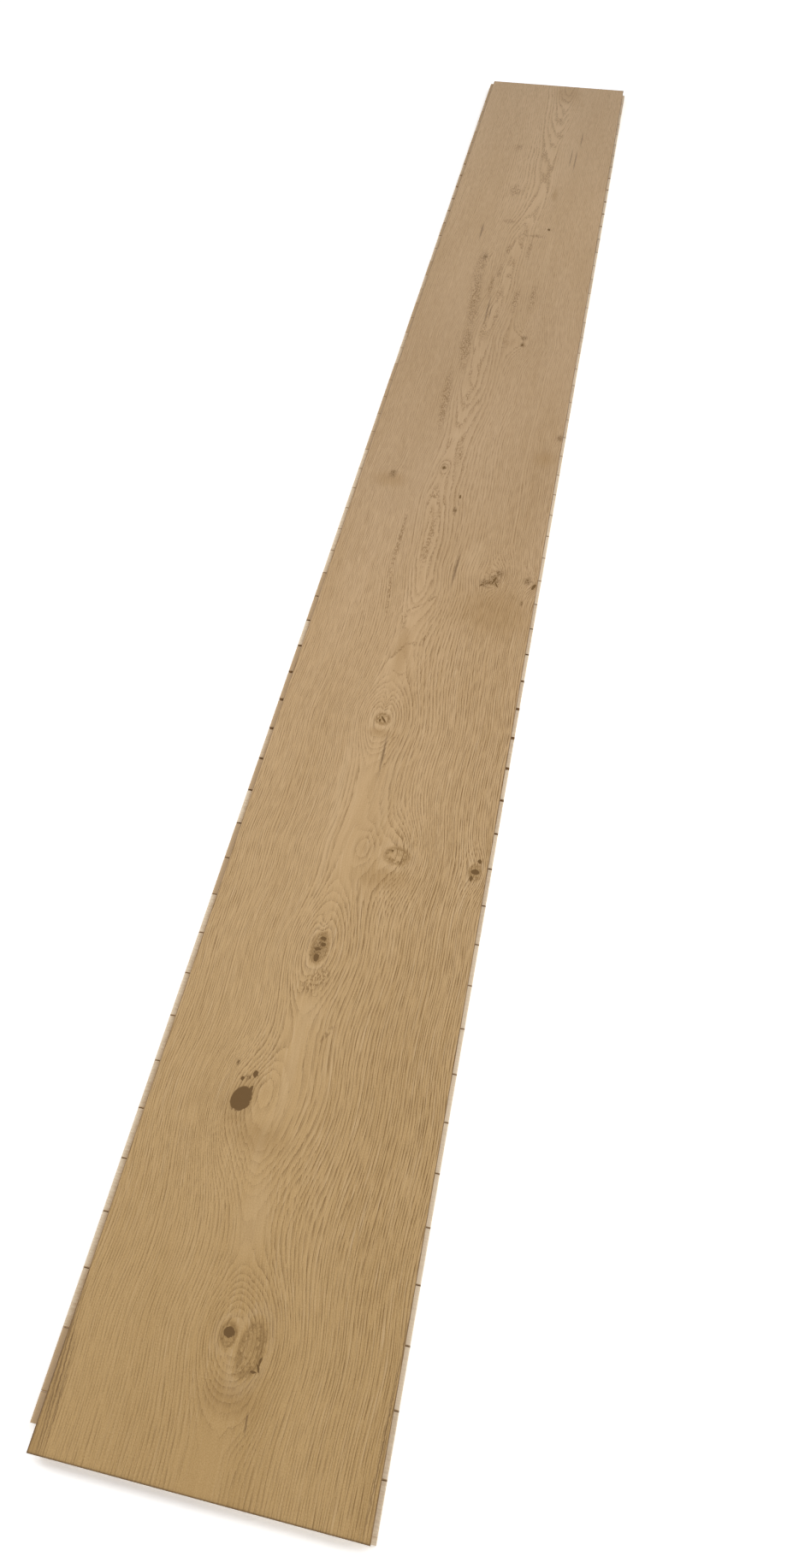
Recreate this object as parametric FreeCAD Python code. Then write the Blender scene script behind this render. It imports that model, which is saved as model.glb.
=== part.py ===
"""Wide-plank engineered floorboard.

An oak face is glued on a core of softwood slats that lie across the board, with a thin veneer under them.
The long edges carry a locking tongue and a groove with a heeled lip, both milled into the slats' ends.
The short ends carry a plain tongue at the far end and a groove at the near end.

Sizes are in millimetres. X runs across the board with the tongue at -X, Y runs along it from the near end
at -Y to the far end at +Y, and Z is up. The origin is on the underside, below the middle of the oak face.
"""

import FreeCAD, Part
import math
import os

# Face and plies
face_length = 2200.0
face_width = 240.0
oak_thickness = 3.5
core_thickness = 8.5
backing_thickness = 2.0
edge_bevel = 0.5            # small bevel along all four edges of the oak face

# Core slats
end_slat_width = 36.5       # each end slat, to the middle of its gap
slat_pitch = 39.4           # wanted distance from gap to gap, trimmed to fill the length
slat_drift = 12.0           # the slats' widths vary slowly, so gaps drift this far from even spacing
slat_gap_narrow = 0.4
slat_gap_wide = 3.4
widest_gap = 16             # the gap that opens widest, counted from the near end
gap_wave = 29               # number of gaps from one wide place to the next
gap_sharpness = 6           # higher values open fewer gaps at a wide place

# Long-edge joint: tongue on one side, groove and heeled lip on the other
tongue_reach = 6.4
tongue_thickness = 4.4
tongue_drop = 5.0           # from the oak's top surface down to the top of the tongue
nose_top_radius = 2.0
nose_bottom_radius = 1.2
lip_reach = 3.6             # lower lip, past the edge of the oak
heel_height = 1.8           # locking heel, above the seat of the lip
heel_inset = 1.8            # the heel starts to rise this far inside the edge of the oak
heel_chamfer = 0.6
groove_radius = 0.8
joint_clearance = 0.15      # between the working faces of two laid boards
nose_room = 0.4             # empty space past the tongue's nose and past the lip's edge

# Short-end joint and the near corner of the long tongue
end_tongue_reach = 5.0
end_tongue_margin = 2.2     # from the bottom of the long groove to the end tongue's corner
end_nose_radius = 1.2
lip_setback = 0.5           # the near end's lower lip stops short of the oak
tongue_relief = 17.0        # the long tongue stops this far from the near end

# Levels and edges that follow from those sizes
half_length = face_length / 2
half_width = face_width / 2
core_bottom = backing_thickness
core_top = core_bottom + core_thickness
face_top = core_top + oak_thickness
tongue_top = face_top - tongue_drop
tongue_bottom = tongue_top - tongue_thickness
groove_top = tongue_top + joint_clearance
lip_seat = tongue_bottom - joint_clearance
heel_top = lip_seat + heel_height
groove_depth = tongue_reach + nose_room
recess_top = heel_top + joint_clearance
recess_depth = lip_reach + nose_room
end_groove_depth = end_tongue_reach + nose_room


def rounded_wire(corners, place):
    """Closed wire through corners (a, b, radius) with tangent arcs; place(a, b) gives the point in space."""
    count = len(corners)
    starts, middles, ends = [], [], []
    for index, (a, b, radius) in enumerate(corners):
        corner = FreeCAD.Vector(a, b, 0)
        before = FreeCAD.Vector(*corners[index - 1][:2], 0)
        after = FreeCAD.Vector(*corners[(index + 1) % count][:2], 0)
        back = (before - corner).normalize()
        ahead = (after - corner).normalize()
        half_angle = back.getAngle(ahead) / 2
        tangent = radius / math.tan(half_angle)
        bisector = (back + ahead).normalize() if radius else FreeCAD.Vector()
        starts.append(corner + back * tangent)
        ends.append(corner + ahead * tangent)
        middles.append(corner + bisector * (radius / math.sin(half_angle) - radius))
    edges = []
    for index in range(count):
        points = (starts[index], middles[index], ends[index])
        start, middle, end = (place(point.x, point.y) for point in points)
        if corners[index][2]:
            edges.append(Part.Arc(start, middle, end).toShape())
        following = starts[(index + 1) % count]
        edges.append(Part.makeLine(end, place(following.x, following.y)))
    return Part.Wire(edges)


def block(low_x, high_x, low_y, high_y, low_z, high_z):
    """Box between two corners."""
    corner = FreeCAD.Vector(low_x, low_y, low_z)
    return Part.makeBox(high_x - low_x, high_y - low_y, high_z - low_z, corner)


def core_corners():
    """Section of the core across the board: tongue at the left, groove and heeled lip at the right."""
    lock_shift = joint_clearance * math.sqrt(2)
    lock_foot = -half_width - heel_inset - lock_shift + joint_clearance
    lock_head = lock_foot + recess_top - tongue_bottom
    return [
        (-half_width + recess_depth, core_bottom, 0),
        (-half_width + recess_depth, recess_top, 0),
        (lock_head, recess_top, 0),
        (lock_foot, tongue_bottom, 0),
        (-half_width - tongue_reach, tongue_bottom, nose_bottom_radius),
        (-half_width - tongue_reach, tongue_top, nose_top_radius),
        (-half_width, tongue_top, 0),
        (-half_width, core_top, 0),
        (half_width, core_top, 0),
        (half_width, groove_top, 0),
        (half_width - groove_depth, groove_top, groove_radius),
        (half_width - groove_depth, lip_seat, groove_radius),
        (half_width - heel_inset, lip_seat, 0),
        (half_width - heel_inset + heel_height, heel_top, 0),
        (half_width + lip_reach - heel_chamfer, heel_top, 0),
        (half_width + lip_reach, heel_top - heel_chamfer, 0),
        (half_width + lip_reach, core_bottom, 0),
    ]


def gap_width(index):
    """Open gap between two slats. The slats are laid unevenly, so the gaps open and close along the board."""
    swing = 0.5 + 0.5 * math.cos(2 * math.pi * (index - widest_gap) / gap_wave)
    return slat_gap_narrow + (slat_gap_wide - slat_gap_narrow) * swing ** gap_sharpness


def slat_spans():
    """Start and end of every slat along the board, from the near end to the far end."""
    inner_length = face_length - 2 * end_slat_width
    inner_count = max(1, round(inner_length / slat_pitch))
    pitch = inner_length / inner_count
    spans = []
    start = -half_length
    for index in range(inner_count + 1):
        drift = slat_drift * math.sin(2 * math.pi * index / inner_count)
        middle = -half_length + end_slat_width + index * pitch + drift
        spans.append((start, middle - gap_width(index) / 2))
        start = middle + gap_width(index) / 2
    spans.append((start, half_length))
    return spans


def slat(start, end):
    """One core slat with the long-edge joint milled into its two ends."""
    wire = rounded_wire(core_corners(), lambda x, z: FreeCAD.Vector(x, start, z))
    return Part.Face(wire).extrude(FreeCAD.Vector(0, end - start, 0))


def near_end_slat(start, end):
    """First slat: the end groove runs through it, its lower lip is set back and the long tongue is cut away."""
    low_x = -half_width - tongue_reach
    high_x = half_width + lip_reach
    groove = block(low_x, high_x, start, start + end_groove_depth, lip_seat, groove_top)
    setback = block(low_x, high_x, start, start + lip_setback, core_bottom, lip_seat)
    relief = block(low_x, -half_width, start, start + tongue_relief, core_bottom, core_top)
    return slat(start, end).cut([groove, setback, relief])


def far_end_slat(start, end):
    """Last slat: the end tongue stands out of it, clear of the long groove."""
    inset = groove_depth + end_tongue_margin
    root = (start + end) / 2
    corners = [
        (root, tongue_bottom, 0),
        (end + end_tongue_reach, tongue_bottom, end_nose_radius),
        (end + end_tongue_reach, tongue_top, end_nose_radius),
        (root, tongue_top, 0),
    ]
    wire = rounded_wire(corners, lambda y, z: FreeCAD.Vector(-half_width + inset, y, z))
    tongue = Part.Face(wire).extrude(FreeCAD.Vector(face_width - 2 * inset, 0, 0))
    return slat(start, end).fuse(tongue).removeSplitter()


def oak_wear_layer():
    """Oak face with a small bevel along its four top edges."""
    face = block(-half_width, half_width, -half_length, half_length, core_top, face_top)
    top = max(face.Faces, key=lambda side: side.CenterOfMass.z)
    return face.makeChamfer(edge_bevel, top.Edges)


def backing_veneer():
    """Veneer under the slats, trimmed with the core for the neighbour's lip at the left."""
    low_x = -half_width + recess_depth
    return block(low_x, half_width + lip_reach, -half_length + lip_setback, half_length, 0, core_bottom)


def main():
    first, *inner, last = slat_spans()
    nodes = {
        "oak_wear_layer": oak_wear_layer(),
        "near_end_slat": near_end_slat(*first),
        "core_slats": Part.Compound([slat(*span) for span in inner]),
        "far_end_slat": far_end_slat(*last),
        "backing_veneer": backing_veneer(),
    }
    os.makedirs("parts", exist_ok=True)
    for name, shape in nodes.items():
        shape.exportStep(f"parts/{name}.step")
        box = shape.BoundBox
        print(
            f"{name}: {len(shape.Solids)} solids, valid {shape.isValid()}, {shape.Volume / 1000:.1f} cm3,",
            f"x {box.XMin:.2f} to {box.XMax:.2f}, y {box.YMin:.2f} to {box.YMax:.2f},",
            f"z {box.ZMin:.2f} to {box.ZMax:.2f}",
        )


main()
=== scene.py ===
"""Dresses the wide plank floorboard.

It gets a rustic oak face, softwood core slats and a backing veneer, and lies in a white studio.
"""

import math
from typing import NamedTuple

import bmesh
import bpy
import numpy as np
from bpy.props import FloatProperty, FloatVectorProperty, IntProperty, PointerProperty
from mathutils import Matrix, Vector


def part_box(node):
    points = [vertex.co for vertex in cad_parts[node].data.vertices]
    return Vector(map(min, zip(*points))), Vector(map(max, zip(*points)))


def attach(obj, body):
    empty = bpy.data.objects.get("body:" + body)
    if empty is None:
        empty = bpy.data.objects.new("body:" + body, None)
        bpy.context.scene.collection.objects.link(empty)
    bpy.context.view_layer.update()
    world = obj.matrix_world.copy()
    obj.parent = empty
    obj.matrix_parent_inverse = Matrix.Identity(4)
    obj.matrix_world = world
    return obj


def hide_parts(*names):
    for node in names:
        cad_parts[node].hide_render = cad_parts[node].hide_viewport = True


bl_info = {
    "name": "Wide Plank Floorboard",
    "version": (1, 0, 0),
    "blender": (4, 5, 0),
    "location": "3D View > Sidebar > Floorboard",
    "description": "Oak face, core slats, backing veneer and studio of an engineered floorboard",
    "category": "Object",
}

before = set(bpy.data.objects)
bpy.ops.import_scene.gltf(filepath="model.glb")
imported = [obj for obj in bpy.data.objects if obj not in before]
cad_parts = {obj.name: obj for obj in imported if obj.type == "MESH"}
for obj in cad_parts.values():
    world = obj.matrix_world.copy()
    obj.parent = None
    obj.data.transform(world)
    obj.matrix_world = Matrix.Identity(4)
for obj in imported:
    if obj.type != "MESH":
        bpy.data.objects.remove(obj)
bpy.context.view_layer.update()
face_low, face_high = (Vector(corner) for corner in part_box("oak_wear_layer"))


class Knot(NamedTuple):
    """Place in the oak face that differs from its plain grain.

    Places and sizes are in millimetres, measured from the face's near left corner.
    """

    across: float
    along: float
    half_width: float
    half_length: float
    swirl: float = 0.0      # how far the growth rings bulge round it
    lean: float = 0.0       # sideways slant for each millimetre along the board


# Sound knots, grey-brown with a dark rim
EYES = (
    Knot(114.3, 97.5, 5.6, 8.0),
    Knot(132.5, 92.0, 8.5, 16.5, 10.0, 0.12),
    Knot(105.3, 407.0, 6.8, 14.0, 15.0, 0.09),
    Knot(154.0, 513.0, 10.5, 9.0, 15.0),
    Knot(228.5, 510.0, 5.5, 8.0, 8.0),
    Knot(107.3, 670.0, 6.8, 7.0, 14.0),
)

# Small frayed knots
PINS = (
    Knot(64.7, 291.5, 1.8, 2.6, 2.0),
    Knot(76.0, 281.0, 2.0, 2.6),
    Knot(105.0, 406.0, 5.5, 12.0, 0.0, 0.09),
    Knot(181.0, 886.0, 6.0, 8.0),
    Knot(190.0, 893.0, 7.0, 10.0),
    Knot(196.0, 904.0, 6.0, 7.5, 10.0),
    Knot(228.5, 898.0, 5.5, 6.5, 5.0),
    Knot(226.0, 861.5, 2.0, 5.0),
    Knot(40.0, 1054.0, 5.0, 8.5, 5.0),
    Knot(126.6, 1001.0, 2.6, 7.0),
    Knot(100.6, 1077.0, 3.5, 5.0, 3.0),
    Knot(236.5, 1163.0, 4.5, 7.5, 5.0),
    Knot(162.0, 1376.0, 4.5, 6.0),
    Knot(162.0, 1359.0, 3.5, 6.0),
    Knot(76.6, 1580.0, 4.0, 9.0, 6.0),
)

# Open knots and cracks, stopped with dark filler
HOLES = (
    Knot(114.3, 99.3, 4.0, 3.6, 14.0),
    Knot(141.4, 86.4, 0.7, 2.8, 0.0, 0.2),
    Knot(141.0, 81.6, 0.8, 2.6, 0.0, -0.4),
    Knot(138.2, 78.6, 2.4, 0.7),
    Knot(75.2, 263.0, 8.1, 10.8, 16.0, 0.32),
    Knot(80.8, 271.8, 1.2, 3.4, 0.0, 0.4),
    Knot(71.7, 279.3, 1.4, 2.1),
    Knot(81.3, 285.0, 2.1, 2.9),
    Knot(107.0, 415.7, 2.8, 2.0),
    Knot(108.3, 410.0, 2.0, 2.2),
    Knot(104.2, 405.0, 2.8, 1.7),
    Knot(105.0, 396.5, 2.4, 3.6),
    Knot(149.0, 517.7, 1.2, 1.2),
    Knot(228.5, 510.5, 3.8, 3.0),
    Knot(226.0, 503.0, 1.5, 3.0),
    Knot(231.0, 522.7, 1.8, 2.2),
    Knot(108.2, 670.0, 1.0, 5.0, 0.0, -0.7),
    Knot(105.0, 668.0, 1.2, 1.8),
    Knot(190.5, 891.5, 1.1, 6.5, 6.0, 0.3),
    Knot(194.0, 885.5, 0.8, 3.5, 0.0, -0.5),
    Knot(186.3, 888.0, 0.7, 3.0, 0.0, 0.8),
    Knot(177.0, 882.0, 0.8, 2.6, 0.0, 0.5),
    Knot(236.0, 890.3, 2.0, 4.8, 4.0, 0.3),
    Knot(100.6, 1076.7, 1.7, 2.6),
    Knot(129.2, 1026.7, 1.2, 3.0),
    Knot(162.0, 1359.0, 1.6, 2.6),
    Knot(162.5, 1678.5, 2.0, 3.0, 4.0),
)

# Dark mineral streaks along the grain
STREAKS = (
    Knot(0.6, 40.0, 0.8, 70.0),
    Knot(2.2, 74.0, 0.45, 52.0, 0.0, -0.03),
    Knot(3.6, 48.0, 0.6, 54.0, 0.0, -0.07),
    Knot(5.4, 58.0, 0.4, 42.0, 0.0, -0.06),
    Knot(6.9, 36.0, 0.5, 38.0, 0.0, -0.05),
    Knot(8.6, 50.0, 0.35, 30.0, 0.0, -0.05),
    Knot(10.6, 28.0, 0.4, 26.0, 0.0, -0.04),
    Knot(237.0, 66.0, 0.55, 95.0, 0.0, 0.037),
    Knot(142.0, 48.0, 0.8, 7.0, 0.0, -0.1),
    Knot(117.0, 627.0, 1.3, 26.0, 0.0, -0.03),
    Knot(144.7, 903.0, 1.6, 28.0, 0.0, 0.03),
    Knot(101.3, 1437.0, 1.3, 34.0),
    Knot(106.0, 1430.0, 0.9, 20.0),
    Knot(59.4, 1655.0, 1.3, 24.0),
    Knot(172.0, 1922.0, 1.1, 30.0),
    Knot(180.0, 1912.0, 1.1, 34.0),
    Knot(183.5, 1992.0, 1.0, 24.0),
)

# Sound places where the grain only swirls, or where the rings part if the swirl is below zero
SWIRLS = (
    Knot(162.0, 1367.0, 5.5, 12.0, 13.0),
    Knot(93.0, 276.0, 4.0, 10.0, 4.0),
    Knot(105.0, 368.0, 4.0, 10.0, -5.0),
    Knot(104.0, 433.0, 4.0, 10.0, -5.0),
    Knot(121.0, 515.0, 3.5, 7.0, 4.5),
    Knot(107.0, 694.0, 3.0, 14.0, -5.0),
    Knot(143.0, 50.0, 6.0, 10.0, 3.0),
)

# Wide darker places, where the wood is smooth and brown
SHADES = (
    Knot(1.0, 25.0, 12.0, 95.0, 0.0, -0.05),
    Knot(77.0, 245.5, 15.0, 5.5),
    Knot(127.0, 60.0, 26.0, 14.0),
    Knot(95.0, 236.0, 30.0, 16.0),
    Knot(148.0, 486.0, 32.0, 13.0),
    Knot(108.0, 652.0, 16.0, 7.0),
    Knot(109.0, 765.0, 8.0, 44.0),
    Knot(196.0, 842.0, 56.0, 44.0),
    Knot(38.0, 1042.0, 24.0, 16.0),
    Knot(222.0, 1118.0, 18.0, 18.0),
    Knot(159.0, 1791.0, 6.0, 28.0),
    Knot(140.0, 2168.0, 28.0, 52.0),
)

# Smooth pale places, where the face runs along a ring
PALES = (
    Knot(111.0, 178.0, 10.0, 26.0),
    Knot(100.5, 226.0, 3.5, 20.0),
    Knot(108.5, 292.0, 4.0, 44.0),
    Knot(112.0, 345.0, 8.0, 12.0),
    Knot(85.0, 560.0, 3.5, 100.0, 0.0, -0.05),
    Knot(130.0, 590.0, 4.0, 50.0),
    Knot(162.0, 925.0, 10.0, 24.0),
    Knot(170.0, 1600.0, 4.0, 80.0),
    Knot(152.0, 1870.0, 4.0, 40.0, 0.0, 0.1),
    Knot(149.0, 2062.0, 2.5, 34.0, 0.0, 0.3),
    Knot(178.0, 2110.0, 2.5, 40.0),
)

# Dotted places, where the face runs along the pores of a ring's early wood
DAPPLES = (
    Knot(113.0, 380.0, 9.0, 9.0),
    Knot(106.0, 368.0, 7.0, 6.0),
    Knot(131.0, 331.0, 2.0, 9.0, 0.0, 0.46),
    Knot(106.5, 736.0, 2.0, 5.5, 0.0, -1.44),
    Knot(117.0, 735.0, 2.0, 4.5, 0.0, 1.03),
    Knot(106.0, 767.0, 1.8, 11.0, 0.0, 0.48),
    Knot(119.0, 779.0, 8.5, 2.6),
    Knot(130.0, 791.0, 1.8, 11.0, 0.0, 0.28),
    Knot(103.0, 813.0, 1.8, 12.0, 0.0, -0.09),
    Knot(111.2, 833.4, 2.0, 9.5, 0.0, 1.07),
    Knot(127.5, 850.0, 2.0, 9.0, 0.0, 0.87),
    Knot(77.0, 850.0, 1.8, 40.0, 0.0, -0.1),
    Knot(106.5, 945.0, 3.5, 45.0),
    Knot(71.5, 930.0, 2.4, 60.0),
    Knot(98.0, 1022.0, 7.0, 4.0),
    Knot(78.0, 1218.0, 5.5, 60.0, 0.0, -0.05),
    Knot(116.5, 1105.0, 3.0, 20.0),
    Knot(106.5, 1228.0, 3.5, 11.0),
    Knot(85.0, 1345.0, 7.5, 55.0, 0.0, -0.06),
    Knot(78.0, 1470.0, 8.0, 90.0, 0.0, -0.08),
    Knot(74.0, 1562.0, 7.0, 30.0),
    Knot(97.0, 1500.0, 3.0, 30.0),
    Knot(104.0, 1545.0, 3.0, 18.0),
    Knot(112.0, 1480.0, 2.5, 24.0),
    Knot(104.0, 1385.0, 3.0, 20.0),
    Knot(115.0, 1420.0, 2.5, 30.0),
    Knot(138.0, 1470.0, 4.5, 30.0),
    Knot(161.5, 1478.0, 4.0, 34.0),
    Knot(119.5, 1533.0, 4.5, 7.0),
    Knot(109.0, 1609.0, 4.5, 13.0),
    Knot(140.0, 1612.0, 3.0, 28.0),
    Knot(126.0, 1660.0, 4.5, 24.0),
    Knot(147.0, 1655.0, 12.0, 5.0),
    Knot(97.0, 1693.0, 9.0, 6.0),
    Knot(94.0, 1794.0, 9.0, 18.0),
    Knot(79.6, 1944.0, 6.0, 12.0),
    Knot(137.0, 2060.0, 8.0, 8.0),
    Knot(145.0, 1998.0, 6.0, 8.0),
)

# Heart of the tree under the face, at places along the board: how far across it lies, and how deep
HEART = (
    (0.0, 122.0, 37.0),
    (100.0, 120.0, 37.0),
    (175.0, 111.0, 38.0),
    (190.0, 106.0, 37.0),
    (220.0, 101.0, 29.0),
    (300.0, 109.0, 28.0),
    (407.0, 105.0, 29.0),
    (520.0, 112.0, 30.0),
    (620.0, 109.0, 30.0),
    (730.0, 107.0, 34.0),
    (790.0, 111.0, 38.0),
    (830.0, 113.0, 34.0),
    (870.0, 112.0, 29.0),
    (980.0, 104.0, 28.0),
    (1030.0, 99.0, 31.0),
    (1140.0, 107.0, 34.0),
    (1240.0, 108.0, 27.0),
    (1400.0, 107.0, 25.0),
    (1500.0, 118.0, 28.0),
    (1640.0, 120.0, 30.0),
    (1720.0, 130.0, 35.0),
    (1800.0, 140.0, 36.0),
    (1960.0, 137.0, 35.0),
    (2080.0, 140.0, 28.0),
    (2200.0, 143.0, 22.0),
)


class Field:
    """Value worked out by shader nodes. Fields add, multiply and divide as numbers do."""

    def __init__(self, tree, socket):
        self.tree = tree
        self.socket = socket

    def math(self, operation, *others):
        return add_node(self.tree, "ShaderNodeMath", [self, *others], operation=operation)

    def __add__(self, other):
        return self.math("ADD", other)

    def __sub__(self, other):
        return self.math("SUBTRACT", other)

    def __mul__(self, other):
        return self.math("MULTIPLY", other)

    def __truediv__(self, other):
        return self.math("DIVIDE", other)

    def taken_from(self, whole):
        return self.math("MULTIPLY_ADD", -1.0, whole)

    def fade(self, start, end):
        """Soft step from 0 where the field is at start to 1 where it is at end."""
        settings = {"interpolation_type": "SMOOTHSTEP"}
        return add_node(self.tree, "ShaderNodeMapRange", [self, start, end, 0.0, 1.0], **settings)


def add_node(tree, kind, inputs=(), output=0, **settings):
    """Adds a node with inputs given by place or by name, and returns one of its outputs as a field."""
    node = tree.nodes.new(kind)
    for name, value in settings.items():
        setattr(node, name, value)
    pairs = inputs.items() if isinstance(inputs, dict) else enumerate(inputs)
    for key, value in pairs:
        if isinstance(value, Field):
            tree.links.new(value.socket, node.inputs[key])
        else:
            node.inputs[key].default_value = value
    return Field(tree, node.outputs[output])


def new_material(name):
    """New material with its node tree and its shader node."""
    material = bpy.data.materials.new(name)
    material.use_nodes = True
    return material, material.node_tree, material.node_tree.nodes["Principled BSDF"]


def split(tree, vector):
    """The three parts of a vector."""
    node = tree.nodes.new("ShaderNodeSeparateXYZ")
    tree.links.new(vector.socket, node.inputs[0])
    return [Field(tree, socket) for socket in node.outputs]


def board_place(tree):
    """Place on the board in millimetres: across, along and up, from the board's origin."""
    metres = add_node(tree, "ShaderNodeTexCoord", output=3)
    inputs = {0: metres, "Scale": 1000.0}
    return split(tree, add_node(tree, "ShaderNodeVectorMath", inputs, operation="SCALE"))


def tongue_side(x):
    """1 on the tongue's side of the board and 0 on the groove's side, with a soft change at the middle."""
    half_change = 60.0
    return x.fade(half_change, -half_change)


def point(tree, *values):
    """Vector of up to three fields or numbers."""
    return add_node(tree, "ShaderNodeCombineXYZ", values)


def noise(tree, vector, detail=2.0, roughness=0.5):
    """Smooth noise from about -0.5 to 0.5, with one wave for each unit of the vector."""
    inputs = {"Vector": vector, "Scale": 1.0, "Detail": detail, "Roughness": roughness}
    return add_node(tree, "ShaderNodeTexNoise", inputs) - 0.5


def chance(tree, number):
    """Random value from 0 to 1 for each whole number."""
    return add_node(tree, "ShaderNodeTexWhiteNoise", {"W": number}, noise_dimensions="1D")


def mix(tree, amount, first, second, blend="MIX"):
    """Blend of two colours, each a field or a plain colour."""
    colours = [value if isinstance(value, Field) else (*value, 1.0) for value in (first, second)]
    inputs = {0: amount, 6: colours[0], 7: colours[1]}
    return add_node(tree, "ShaderNodeMix", inputs, output=2, data_type="RGBA", blend_type=blend)


def link(tree, field, shader, name):
    tree.links.new(field.socket, shader.inputs[name])


def bump(tree, height, unit):
    """Normal of a surface whose height is a field, counted in a unit given in metres."""
    return add_node(tree, "ShaderNodeBump", {"Strength": 1.0, "Distance": unit, "Height": height})


def closest(tree, knots, place):
    """Field of the distance to the nearest of some knots, where 1 is the rim of each."""
    nearest = None
    for knot in knots:
        inputs = {
            "Vector": place,
            "Location": (knot.across, knot.along, 0.0),
            "Rotation": (0.0, 0.0, -math.atan(knot.lean)),
            "Scale": (knot.half_width, knot.half_length, 1.0),
        }
        turned = add_node(tree, "ShaderNodeMapping", inputs, vector_type="TEXTURE")
        away = add_node(tree, "ShaderNodeVectorMath", [turned], output=1, operation="LENGTH")
        nearest = nearest.math("MINIMUM", away) if nearest else away
    return nearest


def distance(knots, across, along):
    """Distance from places on the face to the nearest of some knots, where 1 is the rim of each."""
    far_away = 9.0
    nearest = np.full_like(across, far_away)
    for knot in knots:
        ahead = along - knot.along
        side = across - knot.across - knot.lean * ahead
        nearest = np.minimum(nearest, np.hypot(side / knot.half_width, ahead / knot.half_length))
    return nearest


def smooth_path(along, column):
    """One column of the heart's path, with its corners rounded."""
    places = [row[0] for row in HEART]
    values = [row[column] for row in HEART]
    steps = range(-24, 25, 8)
    return sum(np.interp(along + step, places, values) for step in steps) / len(steps)


def grain(across, along, below):
    """Distance to the heart of the tree, and the flow of the fibres round the knots, in millimetres."""
    heart = smooth_path(along, 1)
    middle = (face_high.x - face_low.x) * 500
    heart_reach = 48.0      # the fibres follow the heart this far to each side
    flow = across - middle - (heart - middle) * np.exp(-(((across - heart) / heart_reach) ** 2))
    pit = np.zeros_like(across)
    for knot in (*EYES, *PINS, *HOLES, *SWIRLS):
        side = across - knot.across
        grown = max(knot.swirl, 0.0)
        ahead = np.exp(-(((along - knot.along) / (knot.half_length + 2.2 * grown)) ** 2))
        pit += knot.swirl * ahead * np.exp(-((side / (knot.half_width + 1.2 * grown)) ** 2))
        bulge = 0.65 * grown / (grown + 8.0)
        flow -= bulge * ahead * side / (1.0 + (side / (knot.half_width + 1.4 * grown)) ** 2)
    ring = np.hypot(flow, smooth_path(along, 2) + below) - pit
    return ring, flow


def steepness(across, along, below):
    """How fast the face cuts through the growth rings."""
    step = 0.5
    least = 0.12            # a lower value would spread a ring's line too wide
    ring, _ = grain(across, along, below)
    sideways, _ = grain(across + step, along, below)
    ahead, _ = grain(across, along + step, below)
    return np.maximum(np.hypot(sideways - ring, ahead - ring) / step, least)


def length(name, description, default):
    return FloatProperty(name=name, description=description, default=default, unit="LENGTH", precision=5)


def colour(name, description, default):
    return FloatVectorProperty(
        name=name, description=description, default=default, subtype="COLOR", min=0.0, max=1.0
    )


class FloorboardOak(bpy.types.PropertyGroup):
    """Oak face."""

    bevel: length("Bevel", "Small bevel along the edges", 0.0005)
    recess: length("Filler recess", "How far filler lies below the face", 0.0002)
    across_steps: IntProperty(name="Steps across", description="Mesh steps across the face", default=135)
    along_steps: IntProperty(name="Steps along", description="Mesh steps along the face", default=690)
    ring_width: FloatProperty(name="Ring width", description="A year's growth, in millimetres", default=2.0)
    pale: colour("Pale oak", "Late wood", (0.600, 0.412, 0.238))
    tan: colour("Tan oak", "Darker late wood", (0.490, 0.320, 0.163))
    early: colour("Early wood", "Brown start of each year's growth", (0.330, 0.190, 0.066))
    pore: colour("Pores", "Open pores of the early wood", (0.215, 0.118, 0.040))
    silk: colour("Silk", "Pale fibres", (0.650, 0.470, 0.280))
    # golden and dusk tint the face along the board, partly as its own tone and partly as painted sheen
    golden: colour("Golden", "Tint of the near part of the face", (0.955, 0.912, 0.71))
    dusk: colour("Dusk", "Tint of the middle of the face", (0.920, 0.925, 0.950))
    eye: colour("Knots", "Sound knots", (0.290, 0.170, 0.060))
    filler: colour("Filler", "Dark filler", (0.165, 0.090, 0.030))
    # The streak colour also paints shade along the face's edges
    streak: colour("Streaks", "Mineral streaks", (0.140, 0.078, 0.034))


class FloorboardCore(bpy.types.PropertyGroup):
    """Core slats and backing."""

    slats: IntProperty(name="Slats", description="Number of inner slats", default=54)
    drift: length("Drift", "How far the gaps drift from even spacing", 0.012)
    # The pale colour is brighter than plain softwood, partly as painted light for the lip, which the oak's
    # edge shades
    pale: colour("Pale softwood", "Lightest slats", (0.920, 0.780, 0.590))
    tan: colour("Tan softwood", "Darkest slats", (0.540, 0.375, 0.215))
    late: colour("Late wood", "Late wood lines", (0.430, 0.280, 0.140))
    # Painted shade: dark colour for the slats' sides in the gaps and for their tops beside the gaps
    painted_gap_shade: colour("Sawn sides", "Sawn sides in the gaps", (0.360, 0.210, 0.090))


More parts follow.
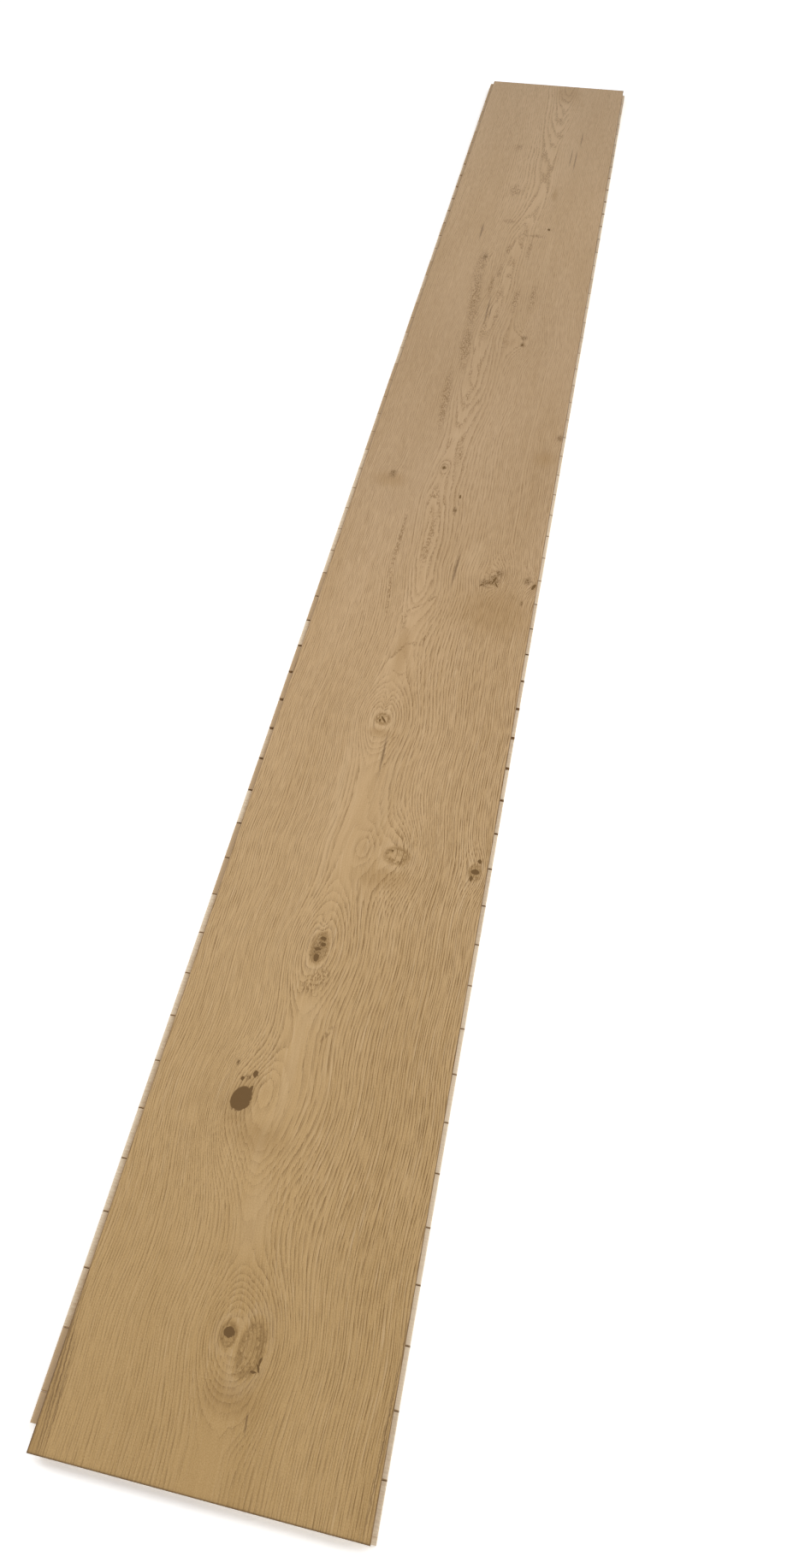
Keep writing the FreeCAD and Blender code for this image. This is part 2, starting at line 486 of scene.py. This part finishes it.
class FloorboardStage(bpy.types.PropertyGroup):
    """Studio."""

    walls: FloatProperty(name="Walls", description="Brightness of the white walls", default=1.0)
    ceiling: FloatProperty(name="Ceiling", description="Brightness of the ceiling", default=0.3)
    floor: FloatProperty(name="Floor", description="Paleness of the floor as it is lit", default=0.8)
    floor_seen: FloatProperty(
        name="Floor seen", description="Paleness of the floor as it is seen", default=1.6
    )
    # Painted shade: darker colour of the floor under the tongue, as the rays that see the floor find it
    floor_painted_shade: colour("Floor below", "Floor as it is seen under the tongue", (0.60, 0.48, 0.36))
    floor_reach: length("Floor reach", "From the middle of the floor to its edges", 8.0)
    floor_drop: length("Floor drop", "Room between the floor and the board", 0.0002)
    softbox: FloatProperty(name="Softbox", description="Power of each softbox", default=11.4, unit="POWER")
    softbox_width: length("Softbox width", "Size of each softbox across the board", 0.8)
    softbox_length: length("Softbox length", "Size of each softbox along the board", 2.2)
    softbox_side: length("Softbox side", "How far each softbox stands to the side", 1.1)
    softbox_along: length("Softbox along", "Where the softboxes stand along the board", -0.3)
    softbox_height: length("Softbox height", "How high the softboxes hang", 1.5)
    camera_place: FloatVectorProperty(
        name="Camera place", description="Where the camera stands", subtype="TRANSLATION",
        default=(0.12556, -1.06445, 0.83877)
    )
    camera_turn: FloatVectorProperty(
        name="Camera turn", description="How the camera is turned", subtype="EULER",
        default=tuple(math.radians(angle) for angle in (34.5565, 0.8370, 12.2110))
    )
    lens: FloatProperty(name="Lens", description="Focal length in millimetres", default=23.323)
    shift: FloatProperty(name="Shift", description="Sideways shift of the frame", default=0.01384)


class FloorboardSettings(bpy.types.PropertyGroup):
    """Sizes and colours of the floorboard."""

    oak: PointerProperty(type=FloorboardOak)
    core: PointerProperty(type=FloorboardCore)
    stage: PointerProperty(type=FloorboardStage)


def oak_material(look):
    """Rustic oak: bent growth rings with rows of pores, sound knots, filled knots and mineral streaks."""
    material, tree, shader = new_material("rustic_oak")
    x, y, z = board_place(tree)
    face = (face_high - face_low) * 1000
    across = x - face_low.x * 1000
    along = y - face_low.y * 1000
    ring, flow, steep, pale, shade, dapple = (
        add_node(tree, "ShaderNodeAttribute", output=2, attribute_name=name)
        for name in ("ring", "flow", "steep", "pale", "shade", "dapple")
    )
    wander = noise(tree, point(tree, flow / 24, y / 160, z / 24), 1.0)
    ripple = noise(tree, point(tree, flow / 6, y / 44, z / 6), 2.0)
    strand = noise(tree, point(tree, flow / 0.9, y / 66, z / 0.9), 2.0, 0.65)
    ring = ring + wander * 7.0 + ripple * (steep.fade(0.75, 0.3) * 1.1 + 0.9) + strand * 1.1
    inputs = {"W": ring / 11, "Scale": 1.0, "Detail": 1.0}
    bunching = add_node(tree, "ShaderNodeTexNoise", inputs, noise_dimensions="1D")
    years = ring / look.ring_width + bunching * 2.2
    season = years.math("FRACT")
    strength = chance(tree, years.math("FLOOR"))
    start = season * look.ring_width / steep
    early = season.fade(0.85, 0.0) * season.fade(0.0, 0.03)
    breaks = noise(tree, point(tree, flow / 0.8, y / 32, z / 0.8), 3.0, 0.6)
    dots = noise(tree, point(tree, x / 1.2, y / 3.2, z / 1.2), 2.0).fade(-0.06, 0.09)
    line = start.fade(0.60, 0.15) * season.fade(0.0, 0.03) * breaks.fade(-0.38, -0.06) * (dots * 0.5 + 0.5)

    ragged = noise(tree, point(tree, x / 2.6, y / 3.4, z / 2.6), 3.0, 0.6)
    place = point(tree, across + ragged * 2.4, along + ragged * -3.0)
    eye = closest(tree, EYES, place) + ragged * 0.8
    hole = closest(tree, HOLES, place) + ragged * 0.4
    near = eye.math("MINIMUM", hole).fade(4.5, 1.2)

    lanes = point(tree, flow / 0.42, y / 22, z / 0.42)
    cells = add_node(tree, "ShaderNodeTexVoronoi", {"Vector": lanes, "Scale": 1.0}, voronoi_dimensions="2D")
    pores = cells.fade(0.48, 0.26) * (early * 0.8 + 0.08) * (steep.fade(0.08, 0.5) * 0.8 + 0.2)
    fibre = noise(tree, point(tree, flow / 0.8, y / 55, z / 0.8), 3.0, 0.65)
    silk = noise(tree, point(tree, flow / 0.9, y / 36, z / 0.9), 1.0)
    clump = noise(tree, point(tree, flow / 5, y / 70, 3.0), 2.0).fade(-0.22, 0.20)
    patch = noise(tree, point(tree, x / 60, y / 300, z / 60), 2.0)
    mood = noise(tree, point(tree, x / 45, y / 240, 7.0), 1.0)
    calm = pale.fade(1.6, 0.4)
    contrast = across.fade(100.0, 225.0) * along.fade(1400.0, 600.0) * 0.46 + along.fade(0.0, 300.0) * 0.38
    contrast = (contrast + mood * 0.8 + 0.52) * (calm * -0.25 + 1.0)
    contrast = contrast * (along.fade(500.0, 1300.0) * -0.28 + 1.0)
    contrast = contrast * (across.fade(95.0, 25.0) * along.fade(450.0, 250.0) * -0.1 + 1.0) + near * 0.22
    mottle = noise(tree, point(tree, x / 0.7, y / 1.0, z / 0.7), 1.0)

    # Painted light: the face is made paler in two stretches along the board, to even out how the softboxes
    # light it
    painted_light = along.fade(50.0, 250.0) * along.fade(750.0, 450.0) * 0.12 + along.fade(1600.0, 1950.0) * 0.2
    tone = patch * 0.9 + fibre * (contrast * 1.55) + mottle * 1.6 + 0.5 - painted_light
    wood = mix(tree, tone.fade(0.0, 1.0), look.pale, look.tan)
    # Tints along the board: the near part is made golden and the middle greyer, partly the wood's own tone
    # and partly painted sheen
    wood = mix(tree, along.fade(1000.0, 0.0), wood, look.golden, "MULTIPLY")
    wood = mix(tree, along.fade(750.0, 1100.0) * along.fade(1800.0, 1300.0), wood, look.dusk, "MULTIPLY")
    wood = mix(tree, calm * 0.14, wood, look.silk)
    wood = mix(tree, early * clump * (strength * 0.18 + 0.04) * contrast, wood, look.early)
    bold = contrast * (steep.fade(0.5, 0.15) * 0.6 + 1.0)
    wood = mix(tree, line * (clump * 0.55 + 0.45) * (strength * 0.56 + 0.36) * bold, wood, look.pore)
    wood = mix(tree, pores * contrast * 0.8, wood, look.pore)
    wood = mix(tree, silk.fade(0.06, 0.24) * early.taken_from(1.0) * contrast * 0.36, wood, look.silk)

    wood = mix(tree, (shade + ragged * 0.3).fade(1.25, 0.2) * 0.36, wood, look.early)
    flat = season.fade(0.5, 0.15) * steep.fade(0.55, 0.25) * along.fade(750.0, 950.0)
    dotted = (dapple + ragged * 0.8).fade(1.5, 0.4).math("MAXIMUM", flat * 0.8) * dots
    wood = mix(tree, dotted * 0.66, wood, look.pore)
    eye_rings = (eye * 9.0 + ragged * 9.0).math("SINE") * 0.14
    speck = noise(tree, point(tree, x / 1.3, y / 1.9, z / 1.3), 2.0)
    wood = mix(tree, eye.fade(1.25, 1.45) * eye.fade(2.2, 1.5) * 0.14, wood, look.silk)
    body = eye_rings + ragged * 1.9 + eye.fade(0.2, 1.0) * 0.22 + 0.22
    wood = mix(tree, eye.fade(1.35, 0.85) * body, wood, look.eye)
    specks = eye.fade(1.25, 0.95) * eye.fade(0.2, 0.9) * speck.fade(0.02, 0.16)
    wood = mix(tree, specks * 0.45, wood, look.filler)
    wood = mix(tree, eye.fade(0.75, 1.0) * eye.fade(1.25, 1.02) * 0.18, wood, look.pore)
    pin = closest(tree, PINS, place) + ragged * 1.2
    frayed = pin.fade(1.5, 0.3) * 0.32 + pin.fade(0.95, 0.5) * speck.fade(-0.04, 0.08) * 0.55
    wood = mix(tree, frayed, wood, look.filler)
    streak = closest(tree, STREAKS, place)
    wood = mix(tree, streak.fade(1.5, 0.2) * (fibre * 0.9 + 0.62), wood, look.streak)
    wood = mix(tree, hole.fade(2.1, 0.95) * 0.30, wood, look.eye)
    filled = hole.fade(1.06, 0.94)
    wood = mix(tree, filled, wood, look.filler)

    # Painted shade: the face darkens to the streak colour within about a millimetre of its edges, wider at
    # the near end, for the shaded bevels
    edge = across.math("MINIMUM", across.taken_from(face.x))
    edge = edge.math("MINIMUM", along * 0.65).math("MINIMUM", along.taken_from(face.y))
    wood = mix(tree, edge.fade(0.95, 0.25) * 0.72, wood, look.streak)
    link(tree, wood, shader, "Base Color")

    shader.inputs["Specular IOR Level"].default_value = 0.2
    link(tree, pores * 0.15 + fibre * 0.10 + filled * 0.08 + 0.48, shader, "Roughness")
    height = pores * -0.8 + line * -0.4 + fibre * 0.2
    link(tree, bump(tree, height * filled.taken_from(1.0), 0.00012), shader, "Normal")
    return material


class FLOORBOARD_OT_oak_face(bpy.types.Operator):
    """Makes the oak face with its bevelled edges, sunk filler and growth rings"""

    bl_idname = "floorboard.oak_face"
    bl_label = "Oak Face"

    def execute(self, context):
        look = context.scene.floorboard.oak
        size = face_high - face_low
        centre = (face_low + face_high) / 2
        mesh = bpy.data.meshes.new("oak_face")
        bm = bmesh.new()
        bmesh.ops.create_grid(bm, x_segments=look.across_steps, y_segments=look.along_steps, size=0.5)
        flat = (size.x - 2 * look.bevel, size.y - 2 * look.bevel, 1.0)
        bmesh.ops.scale(bm, vec=flat, verts=bm.verts)
        bmesh.ops.translate(bm, vec=(centre.x, centre.y, face_high.z), verts=bm.verts)
        for face in bm.faces:
            face.smooth = True
        rim = self.grow_rim(bm)
        spread = (size.x / flat[0], size.y / flat[1], 1.0)
        bmesh.ops.scale(bm, vec=spread, verts=rim, space=Matrix.Translation(-centre))
        bmesh.ops.translate(bm, vec=(0, 0, -look.bevel), verts=rim)
        rim = self.grow_rim(bm)
        bmesh.ops.translate(bm, vec=(0, 0, face_low.z - face_high.z + look.bevel), verts=rim)
        bmesh.ops.contextual_create(bm, geom=[edge for edge in bm.edges if edge.is_boundary])
        bmesh.ops.recalc_face_normals(bm, faces=bm.faces)
        self.unfold(bm)
        bm.to_mesh(mesh)
        bm.free()
        self.carve(mesh, look)
        mesh.materials.append(oak_material(look))
        piece = bpy.data.objects.new("oak_face", mesh)
        context.scene.collection.objects.link(piece)
        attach(piece, "root")
        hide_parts("oak_wear_layer")
        return {"FINISHED"}

    @staticmethod
    def grow_rim(bm):
        """Extrudes the open rim in place and returns its new vertices."""
        grown = bmesh.ops.extrude_edge_only(bm, edges=[edge for edge in bm.edges if edge.is_boundary])
        return [item for item in grown["geom"] if isinstance(item, bmesh.types.BMVert)]

    @staticmethod
    def unfold(bm):
        """Lays the piece out on a map.

        The face nearly fills the map, its sides fold out round it, and the underside is in a corner.
        """
        layer = bm.loops.layers.uv.new("OFBake")
        size = face_high - face_low
        margin = 0.02
        for face in bm.faces:
            underside = face.normal.z < -0.5
            out = Vector((0.0, 0.0)) if abs(face.normal.z) > 0.9 else face.normal.xy.normalized()
            for loop in face.loops:
                place = loop.vert.co - face_low
                share = Vector((place.x / size.x, place.y / size.y))
                if underside:
                    loop[layer].uv = share * margin * 0.8
                else:
                    fold = out * (1.0 - place.z / size.z) * margin * 0.8
                    loop[layer].uv = share * (1.0 - 2 * margin) + Vector((margin, margin)) + fold

    @staticmethod
    def carve(mesh, look):
        """Writes the growth rings and the flow on the mesh and sinks the filled knots into the face."""
        places = np.empty(len(mesh.vertices) * 3)
        mesh.vertices.foreach_get("co", places)
        places = places.reshape(-1, 3)
        across, along = ((places[:, axis] - face_low[axis]) * 1000 for axis in (0, 1))
        below = (face_high.z - places[:, 2]) * 1000
        ring, flow = grain(across, along, below)
        fields = {"ring": ring, "flow": flow, "steep": steepness(across, along, below)}
        for name, knots in (("pale", PALES), ("shade", SHADES), ("dapple", DAPPLES)):
            fields[name] = distance(knots, across, along)
        for name, values in fields.items():
            mesh.attributes.new(name, "FLOAT", "POINT").data.foreach_set("value", values)
        sunk = np.clip((1.05 - distance(HOLES, across, along)) / 0.3, 0.0, 1.0)
        places[:, 2] -= look.recess * sunk * (below < 0.001)
        mesh.vertices.foreach_set("co", places.ravel())
        mesh.update()


def core_material(look):
    """Softwood slats with end grain at the board's long edges, each slat in its own tone, with painted
    shade at the gaps and painted light and shade on the lip and tongue.
    """
    material, tree, shader = new_material("core_softwood")
    x, y, z = board_place(tree)
    low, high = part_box("core_slats")
    first, last, nose = (value * 1000 for value in (low.y, high.y, low.x))
    pitch = (last - first) / look.slats
    even = (y - first) / pitch
    shift = look.drift * 1000 / pitch
    # The gaps drift from even spacing, so the place counted in slats is found in two steps
    count = even
    for _ in range(2):
        count = even - (count * (2 * math.pi / look.slats)).math("SINE") * shift
    slat = count.math("FLOOR")
    tone, turn, reach = (chance(tree, slat + step) for step in (0.25, 100.5, 300.5))
    side = (count - slat - turn) * pitch * 1.8
    rise = z + reach * 60.0 + 6.0
    wave = noise(tree, point(tree, x / 60, y / 9, z / 9), 2.0)
    rings = (side * side + rise * rise).math("SQRT") + wave * 2.4
    season = (rings / 2.4).math("FRACT")
    late = season.fade(0.40, 0.92) * season.fade(1.0, 0.94)
    fibre = noise(tree, point(tree, x / 6, y / 1.1, z / 1.1), 2.0)
    tongue = tongue_side(x)
    # Painted light and shade: the groove's side stays pale as painted light on the lip, which the oak's
    # edge shades. The tongue's side is browner, partly the slats' own tone and partly painted shade,
    # browner still towards the oak's wall as painted shade in that corner, and browner in its far half.
    brown = tongue * (y.fade(-200.0, 600.0) * 0.2 + x.fade(nose + 1.9, nose + 5.4) * 0.3 + 0.42)
    brown = brown + tone.fade(0.35, 0.65) * (tongue * 0.25 + 0.3) + fibre * 0.6
    wood = mix(tree, brown.fade(0.0, 1.0), look.pale, look.tan)
    wood = mix(tree, late * 0.10, wood, look.late)
    # Painted shade: the slats' tops darken within about a millimetre of the middle of each gap
    gap_edge_shade = (count - count.math("ROUND")).math("ABSOLUTE") * pitch
    wood = mix(tree, gap_edge_shade.fade(0.85, 0.50) * 0.85, wood, look.painted_gap_shade)
    # Painted shade: the slats' sides facing along the board, inside the gaps, take the same dark colour
    normal = add_node(tree, "ShaderNodeNewGeometry", output=1)
    sideways = split(tree, normal)[1].math("ABSOLUTE").fade(0.7, 0.9)
    end_joint = 7.0         # the end joint's own sides, which aren't gaps between slats and get no painted shade, reach this far in
    limit = face_high.y * 1000 - end_joint
    inside = y.math("ABSOLUTE").fade(limit, limit - 3.0)
    wood = mix(tree, sideways * inside, wood, look.painted_gap_shade)
    link(tree, wood, shader, "Base Color")
    shader.inputs["Specular IOR Level"].default_value = 0.3
    link(tree, fibre * 0.1 + 0.66, shader, "Roughness")
    link(tree, bump(tree, fibre * 0.5 + late * 0.4, 0.00006), shader, "Normal")
    return material


def backing_material(look):
    """Softwood veneer with its grain along the board."""
    material, tree, shader = new_material("backing_softwood")
    x, y, z = board_place(tree)
    drift = noise(tree, point(tree, x / 40, y / 420, z / 40), 2.0)
    side = x + drift * 40.0
    rise = z + drift * 26.0 + 70.0
    ripple = noise(tree, point(tree, x / 6, y / 60, z / 6), 2.0)
    rings = (side * side + rise * rise).math("SQRT") + ripple * 2.0
    season = (rings / 4.2).math("FRACT")
    late = season.fade(0.4, 0.92) * season.fade(1.0, 0.95)
    fibre = noise(tree, point(tree, x / 0.7, y / 30, z / 0.7), 2.0)
    wood = mix(tree, (drift + 0.5).fade(0.2, 0.9) * 0.6 + fibre * 0.3, look.pale, look.tan)
    wood = mix(tree, late * 0.5, wood, look.late)
    link(tree, wood, shader, "Base Color")
    shader.inputs["Specular IOR Level"].default_value = 0.3
    link(tree, fibre * 0.1 + 0.66, shader, "Roughness")
    link(tree, bump(tree, fibre * 0.5 + late * 0.5, 0.00015), shader, "Normal")
    return material


def paint(node, material):
    """Gives a CAD node one material."""
    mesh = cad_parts[node].data
    mesh.materials.clear()
    mesh.materials.append(material)


class FLOORBOARD_OT_core_slats(bpy.types.Operator):
    """Finishes the softwood slats of the core"""

    bl_idname = "floorboard.core_slats"
    bl_label = "Core Slats"

    def execute(self, context):
        material = core_material(context.scene.floorboard.core)
        for node in ("near_end_slat", "core_slats", "far_end_slat"):
            paint(node, material)
        return {"FINISHED"}


class FLOORBOARD_OT_backing(bpy.types.Operator):
    """Finishes the backing veneer"""

    bl_idname = "floorboard.backing"
    bl_label = "Backing Veneer"

    def execute(self, context):
        paint("backing_veneer", backing_material(context.scene.floorboard.core))
        return {"FINISHED"}


class FLOORBOARD_OT_stage(bpy.types.Operator):
    """Sets up the white floor, the soft light and the camera"""

    bl_idname = "floorboard.stage"
    bl_label = "Stage"

    def execute(self, context):
        look = context.scene.floorboard.stage
        self.floor(context, look)
        self.studio(context, look)
        self.softboxes(context, look)
        self.camera(context, look)
        context.scene.view_settings.view_transform = "Standard"
        return {"FINISHED"}

    @staticmethod
    def floor(context, look):
        """White floor that looks white where nothing shades it, with painted shade on its strip under the
        tongue, which makes the gaps between the slats look dark.
        """
        mesh = bpy.data.meshes.new("floor")
        bm = bmesh.new()
        bmesh.ops.create_grid(bm, x_segments=1, y_segments=1, size=look.floor_reach)
        bmesh.ops.translate(bm, vec=(0, 0, -look.floor_drop), verts=bm.verts)
        bm.to_mesh(mesh)
        bm.free()
        material, tree, shader = new_material("white_floor")
        shader.inputs["Roughness"].default_value = 0.9
        shader.inputs["Specular IOR Level"].default_value = 0.0
        path = tree.nodes.new("ShaderNodeLightPath")
        names = ("Is Camera Ray", "Is Glossy Ray", "Is Transmission Ray")
        camera, glossy, clear = (Field(tree, path.outputs[name]) for name in names)
        seen = camera.math("MAXIMUM", glossy).math("MAXIMUM", clear)
        x, y, _ = board_place(tree)
        low, high = (Vector(corner) * 1000 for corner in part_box("core_slats"))
        soft = 20.0             # length of the soft change at the board's ends
        # Painted shade: a strip of floor under the tongue looks darker to the rays that see it, so the gaps
        # between the slats look shaded
        below = x.fade(low.x - 2.8, low.x - 1.0) * tongue_side(x)
        below = below * y.fade(low.y - soft, low.y) * y.fade(high.y + 2 * soft, high.y + soft)
        plain = mix(tree, seen, [look.floor] * 3, [look.floor_seen] * 3)
        link(tree, mix(tree, below * seen, plain, look.floor_painted_shade), shader, "Base Color")
        mesh.materials.append(material)
        floor = bpy.data.objects.new("floor", mesh)
        context.scene.collection.objects.link(floor)

    @staticmethod
    def studio(context, look):
        """White walls all round, under a dimmer ceiling."""
        world = bpy.data.worlds.new("white_studio")
        world.use_nodes = True
        tree = world.node_tree
        height = split(tree, add_node(tree, "ShaderNodeTexCoord"))[2]
        strength = height.fade(0.2, 0.95) * (look.ceiling - look.walls) + look.walls
        background = tree.nodes["Background"]
        background.inputs["Color"].default_value = (1.0, 1.0, 1.0, 1.0)
        link(tree, strength, background, "Strength")
        context.scene.world = world

    @staticmethod
    def softboxes(context, look):
        """A long softbox on each side of the board."""
        for name, side in (("left_softbox", -1), ("right_softbox", 1)):
            light = bpy.data.lights.new(name, "AREA")
            light.shape = "RECTANGLE"
            light.size = look.softbox_width
            light.size_y = look.softbox_length
            light.energy = look.softbox
            softbox = bpy.data.objects.new(name, light)
            softbox.location = (look.softbox_side * side, look.softbox_along, look.softbox_height)
            aim = Vector((0.0, look.softbox_along, 0.0)) - softbox.location
            softbox.rotation_euler = aim.to_track_quat("-Z", "Y").to_euler()
            context.scene.collection.objects.link(softbox)

    @staticmethod
    def camera(context, look):
        """Camera at the photograph's viewpoint."""
        lens = bpy.data.cameras.new("photo_camera")
        lens.sensor_width = 36.0
        lens.lens = look.lens
        lens.shift_x = look.shift
        lens.clip_start = 0.01
        camera = bpy.data.objects.new("photo_camera", lens)
        camera.location = look.camera_place
        camera.rotation_euler = look.camera_turn
        context.scene.collection.objects.link(camera)
        context.scene.camera = camera


class FLOORBOARD_PT_pieces(bpy.types.Panel):
    """Lists the pieces of the floorboard and their looks"""

    bl_label = "Floorboard"
    bl_space_type = "VIEW_3D"
    bl_region_type = "UI"
    bl_category = "Floorboard"

    def draw(self, context):
        settings = context.scene.floorboard
        for operator in OPERATORS:
            self.layout.operator(operator.bl_idname)
        for group in (settings.oak, settings.core, settings.stage):
            box = self.layout.box()
            for name in group.__annotations__:
                box.prop(group, name)


OPERATORS = (FLOORBOARD_OT_oak_face, FLOORBOARD_OT_core_slats, FLOORBOARD_OT_backing, FLOORBOARD_OT_stage)
GROUPS = (FloorboardOak, FloorboardCore, FloorboardStage, FloorboardSettings)
CLASSES = (*GROUPS, *OPERATORS, FLOORBOARD_PT_pieces)


def register():
    for item in CLASSES:
        bpy.utils.register_class(item)
    bpy.types.Scene.floorboard = PointerProperty(type=FloorboardSettings)


def unregister():
    del bpy.types.Scene.floorboard
    for item in reversed(CLASSES):
        bpy.utils.unregister_class(item)


def main():
    register()
    bpy.ops.floorboard.oak_face()
    bpy.ops.floorboard.core_slats()
    bpy.ops.floorboard.backing()
    bpy.ops.floorboard.stage()


if __name__ == "__main__":
    main()
